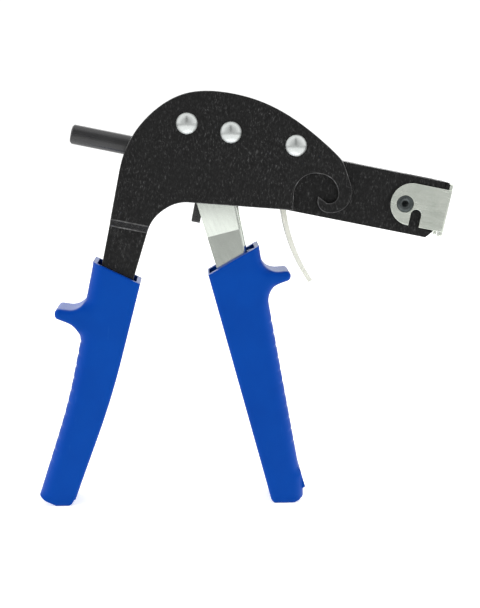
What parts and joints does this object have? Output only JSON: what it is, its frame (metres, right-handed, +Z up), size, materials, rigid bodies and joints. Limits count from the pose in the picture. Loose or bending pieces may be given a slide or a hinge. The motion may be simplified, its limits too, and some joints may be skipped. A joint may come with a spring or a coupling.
{
  "type": "hollow wall anchor setting tool",
  "caption": "Plier-shaped hand tool that pulls a steel rod to set hollow-wall anchors: black arched frame, blue grips, slotted swinging nose plate.",
  "frame": {"origin": "on the floor under the middle of the tool's box, where it stands on the ends of its two grips", "axes": "+X towards the nose, +Y away from the side with the seen face, +Z up; the pull rod leans 11.4 degrees nose down in the XZ plane"},
  "size_m": [0.197, 0.0266, 0.1971],
  "materials": {
    "black_coat": "fine textured powder coat",
    "black_oxide": "satin black oxide",
    "bright_steel": "polished steel",
    "spring_steel": "drawn wire",
    "zinc": "zinc plated sheet",
    "blue_grip": "satin moulded plastic"
  },
  "bodies": {
    "frame": {"side_plate_near": "black_coat", "side_plate_far": "black_coat", "nose_channel": "black_coat", "rear_guide": "black_coat", "pivot_rivet": "bright_steel", "centre_rivet": "bright_steel", "front_rivet": "bright_steel", "pivot_bush": "bright_steel", "centre_spacer": "bright_steel", "nose_pin_near": "black_oxide", "nose_pin_far": "black_oxide", "fixed_grip": "blue_grip", "lock_spring": "spring_steel"},
    "handle": {"handle_channel": "zinc", "moving_grip": "blue_grip", "drive_pin": "bright_steel"},
    "drive": {"drive_plate_rear": "black_oxide", "drive_plate_front": "black_oxide", "return_spring": "spring_steel"},
    "rod": {"pull_rod": "black_oxide", "puller_jaw": "black_oxide", "jaw_pin": "bright_steel"},
    "lever": {"release_lever": "zinc"},
    "clip": {"nose_plate": "zinc"}
  },
  "joints": [
    {"name": "handle_squeeze", "type": "hinge", "parent": "frame", "child": "handle", "pos_m": [-0.02594, 0, 0.1824], "axis": [0, 1, 0], "range_deg": [0, 22], "stiffness_Nm_per_rad": 0.8, "springref_deg": -28.65},
    {"name": "drive_slide", "type": "slide", "parent": "frame", "child": "drive", "axis": [0.9803, 0, -0.1977], "range_m": [-0.0106, 0], "deforming": ["return_spring"]},
    {"name": "rod_pull", "type": "slide", "parent": "frame", "child": "rod", "axis": [-0.9803, 0, 0.1977], "range_m": [0, 0.045]},
    {"name": "lever_release", "type": "hinge", "parent": "frame", "child": "lever", "pos_m": [0.01967, 0, 0.16881], "axis": [0, 1, 0], "range_deg": [0, 5], "stiffness_Nm_per_rad": 0.15, "springref_deg": -17.19, "deforming": ["lock_spring"]},
    {"name": "nose_plate_swing", "type": "hinge", "parent": "frame", "child": "clip", "pos_m": [0.0757, 0, 0.14517], "axis": [0, 1, 0], "range_deg": [0, 90]}
  ],
  "couplings": [
    {"joint": "drive_slide", "follows": "handle_squeeze", "m_per_rad": -0.02714}
  ]
}
